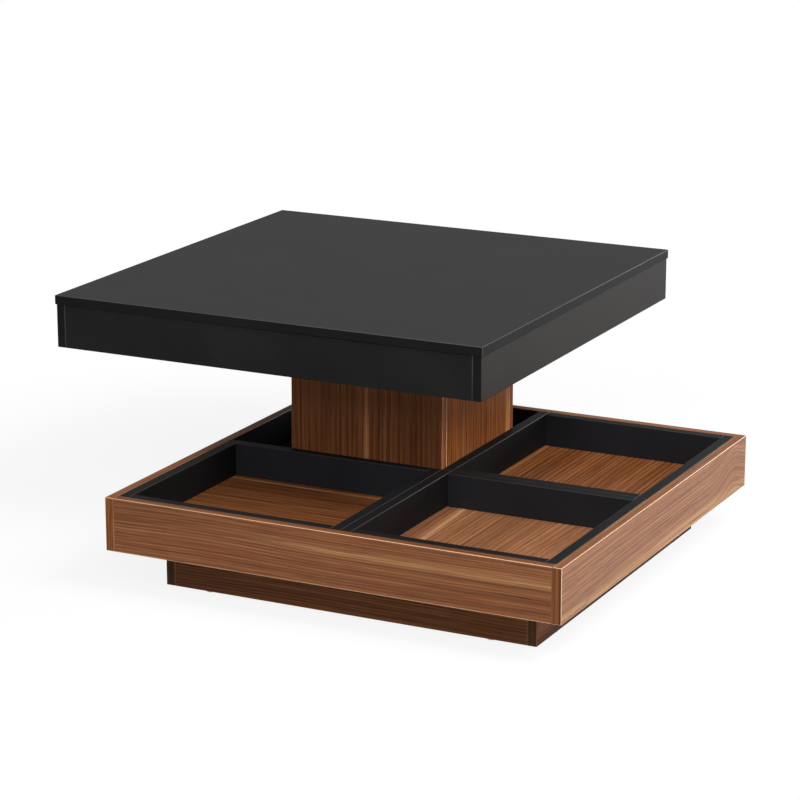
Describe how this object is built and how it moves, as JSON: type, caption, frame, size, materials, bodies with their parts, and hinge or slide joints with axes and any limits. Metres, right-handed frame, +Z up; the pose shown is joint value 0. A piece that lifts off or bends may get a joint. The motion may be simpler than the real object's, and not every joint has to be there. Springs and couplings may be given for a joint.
{
  "type": "swivel coffee table",
  "caption": "Low square coffee table: a black top that swivels on an off-centre walnut column over a walnut tray with black-lined storage bins, on a set-in plinth.",
  "frame": {"origin": "on the floor, on the vertical axis that the top swivels about, which is the column's centre; with the top swung half a turn from closed it is also the middle of the table's outline", "axes": "+Z up along the swivel axis; +X to the right and +Y to the back, seen from the front, where the tray's open corner is at the front right and the top reaches to the back left"},
  "size_m": [1.048, 1.048, 0.415],
  "materials": {
    "walnut_board": "satin walnut-grain facing on particle board",
    "black_board": "satin black facing on particle board",
    "plain_board": "bare particle board, hidden",
    "beech_dowel": "raw fluted beech",
    "zinc_steel": "zinc-plated steel",
    "bearing_steel": "polished",
    "cage_plastic": "natural moulded plastic",
    "glide_plastic": "matte white moulded plastic"
  },
  "bodies": {
    "base": {"plinth_left_board": "walnut_board", "plinth_right_board": "walnut_board", "plinth_front_board": "walnut_board", "plinth_back_board": "walnut_board", "plinth_long_rail": "plain_board", "plinth_left_rail": "plain_board", "plinth_right_rail": "plain_board", "plinth_corner_blocks": "plain_board", "floor_glides": "glide_plastic", "tray_rim_left": "walnut_board", "tray_rim_right": "walnut_board", "tray_rim_front": "walnut_board", "tray_rim_back": "walnut_board", "front_left_bin_floor": "walnut_board", "front_right_bin_floor": "walnut_board", "back_right_bin_floor": "walnut_board", "column_floor": "walnut_board", "front_left_bin_left_wall": "black_board", "front_left_bin_right_wall": "black_board", "front_left_bin_front_wall": "black_board", "front_left_bin_back_wall": "black_board", "front_right_bin_left_wall": "black_board", "front_right_bin_right_wall": "black_board", "front_right_bin_front_wall": "black_board", "front_right_bin_back_wall": "black_board", "back_right_bin_left_wall": "black_board", "back_right_bin_right_wall": "black_board", "back_right_bin_front_wall": "black_board", "back_right_bin_back_wall": "black_board", "column_left_board": "walnut_board", "column_right_board": "walnut_board", "column_front_board": "walnut_board", "column_back_board": "walnut_board", "column_cap": "plain_board", "column_foot_blocks": "plain_board", "swivel_lower_plate": "zinc_steel", "swivel_rivet": "zinc_steel", "base_dowels": "beech_dowel", "base_cam_bolts": "zinc_steel", "base_cam_locks": "zinc_steel", "base_board_screws": "zinc_steel", "lower_plate_screws": "zinc_steel"},
    "ball_ring": {"swivel_balls": "bearing_steel", "swivel_ball_cage": "cage_plastic"},
    "top": {"top_slab": "black_board", "apron_left_board": "black_board", "apron_right_board": "black_board", "apron_front_board": "black_board", "apron_back_board": "black_board", "swivel_mount_board": "plain_board", "apron_corner_blocks": "plain_board", "swivel_upper_plate": "zinc_steel", "top_dowels": "beech_dowel", "top_cam_bolts": "zinc_steel", "top_cam_locks": "zinc_steel", "top_board_screws": "zinc_steel", "upper_plate_screws": "zinc_steel"}
  },
  "joints": [
    {"name": "top_swivel", "type": "hinge", "parent": "base", "child": "top", "pos_m": [0, 0, 0.378], "axis": [0, 0, 1], "continuous": true},
    {"name": "ball_ring_roll", "type": "hinge", "parent": "base", "child": "ball_ring", "pos_m": [0, 0, 0.378], "axis": [0, 0, 1], "continuous": true}
  ],
  "couplings": [
    {"joint": "ball_ring_roll", "follows": "top_swivel", "ratio": 0.5}
  ]
}
